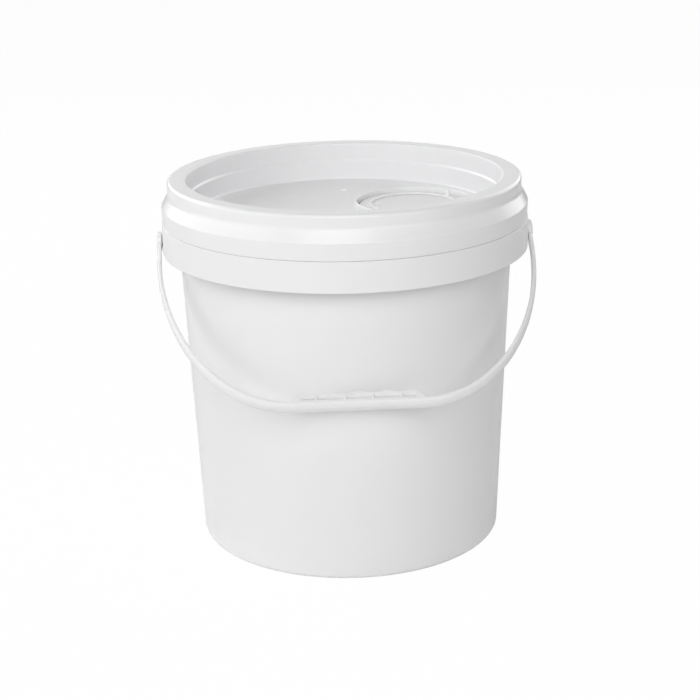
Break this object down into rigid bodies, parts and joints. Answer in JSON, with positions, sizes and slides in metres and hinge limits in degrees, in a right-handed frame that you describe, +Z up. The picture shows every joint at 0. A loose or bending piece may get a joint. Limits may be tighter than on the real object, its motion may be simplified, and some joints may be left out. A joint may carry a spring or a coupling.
{
  "type": "plastic bucket with lid",
  "caption": "Round white moulded plastic bucket with a push-on lid, a screw-in spout cap under pull rings and a swinging plastic bail with a ribbed grip.",
  "frame": {"origin": "centre of the foot ring's standing face, on the pail's axis", "axes": "+Z up along the pail's axis, X through the bail's two pivots with the spout on +X, -Y towards the side where the bail hangs"},
  "size_m": [0.2732, 0.2651, 0.2687],
  "materials": {
    "pail_plastic": "white moulded polypropylene, satin gloss",
    "lid_plastic": "white moulded polyethylene, satin gloss",
    "spout_plastic": "white moulded polyethylene, satin",
    "bail_plastic": "white moulded polypropylene, satin gloss",
    "gasket_rubber": "matt grey rubber",
    "liner_foam": "matt white foam"
  },
  "bodies": {
    "pail": {"pail": "pail_plastic"},
    "lid": {"lid": "lid_plastic", "lid_gasket": "gasket_rubber", "spout_neck": "spout_plastic"},
    "cap": {"spout_cap": "spout_plastic", "cap_seal": "liner_foam"},
    "front_ring": {"pull_ring_front": "spout_plastic"},
    "back_ring": {"pull_ring_back": "spout_plastic"},
    "bail": {"bail_handle": "bail_plastic"}
  },
  "joints": [
    {"name": "bail_swing", "type": "hinge", "parent": "pail", "child": "bail", "pos_m": [0, 0, 0.2231], "axis": [-1, 0, 0], "range_deg": [0, 247.6]},
    {"name": "lid_lift", "type": "slide", "parent": "pail", "child": "lid", "axis": [0, 0, 1], "range_m": [0, 0.07]},
    {"name": "cap_lift", "type": "slide", "parent": "lid", "child": "cap", "axis": [0, 0, 1], "range_m": [0, 0.03]},
    {"name": "front_ring_fold", "type": "hinge", "parent": "cap", "child": "front_ring", "pos_m": [0.04618, -0.00238, 0.2475], "axis": [-0.5299, 0.848, 0], "range_deg": [0, 90]},
    {"name": "back_ring_fold", "type": "hinge", "parent": "cap", "child": "back_ring", "pos_m": [0.05382, 0.00238, 0.2475], "axis": [0.5299, -0.848, 0], "range_deg": [0, 90]}
  ]
}
